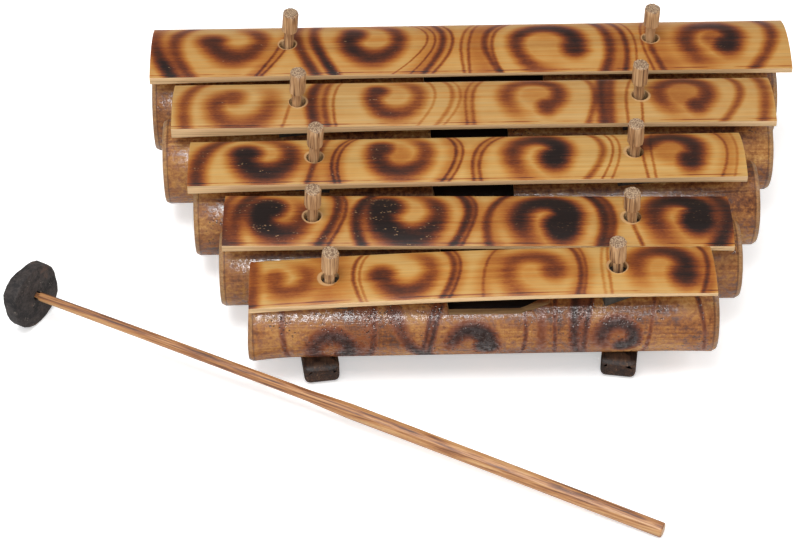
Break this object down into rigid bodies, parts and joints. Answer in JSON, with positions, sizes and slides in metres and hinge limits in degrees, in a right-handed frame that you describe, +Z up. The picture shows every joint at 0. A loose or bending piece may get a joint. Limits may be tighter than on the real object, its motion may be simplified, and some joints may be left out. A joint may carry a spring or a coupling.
{
  "type": "bamboo xylophone",
  "caption": "Low bamboo xylophone: arched keys loose on whittled pegs above tube resonators with mouths in their tops, on rails, with a disc-headed mallet lying in front.",
  "frame": {"origin": "middle of the object's footprint, mallet included, on the ground", "axes": "+X along the keys to the player's right, +Y away from the player towards the longest key, +Z up"},
  "size_m": [0.3972, 0.3086, 0.0914],
  "materials": {
    "burnt_bamboo": "pale bamboo with torch-burnt swirls, thin satin varnish",
    "varnished_bamboo": "brown bamboo under glossy varnish, sanded at the ends",
    "peg_bamboo": "whittled fibrous bamboo, matt",
    "pad_rubber": "dull dark grey sheet rubber",
    "stained_wood": "dark brown stain, matt",
    "handle_bamboo": "varnished split bamboo",
    "head_rubber": "scuffed black rubber with pale fibre ends"
  },
  "bodies": {
    "stand": {"rail_left": "stained_wood", "rail_right": "stained_wood", "tube_1": "varnished_bamboo", "tube_2": "varnished_bamboo", "tube_3": "varnished_bamboo", "tube_4": "varnished_bamboo", "tube_5": "varnished_bamboo", "peg_left_1": "peg_bamboo", "peg_right_1": "peg_bamboo", "peg_left_2": "peg_bamboo", "peg_right_2": "peg_bamboo", "peg_left_3": "peg_bamboo", "peg_right_3": "peg_bamboo", "peg_left_4": "peg_bamboo", "peg_right_4": "peg_bamboo", "peg_left_5": "peg_bamboo", "peg_right_5": "peg_bamboo", "pad_left_1": "pad_rubber", "pad_right_1": "pad_rubber", "pad_left_2": "pad_rubber", "pad_right_2": "pad_rubber", "pad_left_3": "pad_rubber", "pad_right_3": "pad_rubber", "pad_left_4": "pad_rubber", "pad_right_4": "pad_rubber", "pad_left_5": "pad_rubber", "pad_right_5": "pad_rubber"},
    "key_1": {"bar_1": "burnt_bamboo"},
    "key_2": {"bar_2": "burnt_bamboo"},
    "key_3": {"bar_3": "burnt_bamboo"},
    "key_4": {"bar_4": "burnt_bamboo"},
    "key_5": {"bar_5": "burnt_bamboo"},
    "mallet": {"mallet_handle": "handle_bamboo", "mallet_head": "head_rubber"}
  },
  "joints": [
    {"name": "key_1_lift", "type": "slide", "parent": "stand", "child": "key_1", "axis": [0, 0, 1], "range_m": [0, 0.0079]},
    {"name": "key_2_lift", "type": "slide", "parent": "stand", "child": "key_2", "axis": [0, 0, 1], "range_m": [0, 0.0066]},
    {"name": "key_3_lift", "type": "slide", "parent": "stand", "child": "key_3", "axis": [0, 0, 1], "range_m": [0, 0.0059]},
    {"name": "key_4_lift", "type": "slide", "parent": "stand", "child": "key_4", "axis": [0, 0, 1], "range_m": [0, 0.0058]},
    {"name": "key_5_lift", "type": "slide", "parent": "stand", "child": "key_5", "axis": [0, 0, 1], "range_m": [0, 0.0042]},
    {"name": "mallet_lift", "type": "slide", "parent": "stand", "child": "mallet", "axis": [0, 0, 1], "range_m": [0, 0.2]}
  ]
}
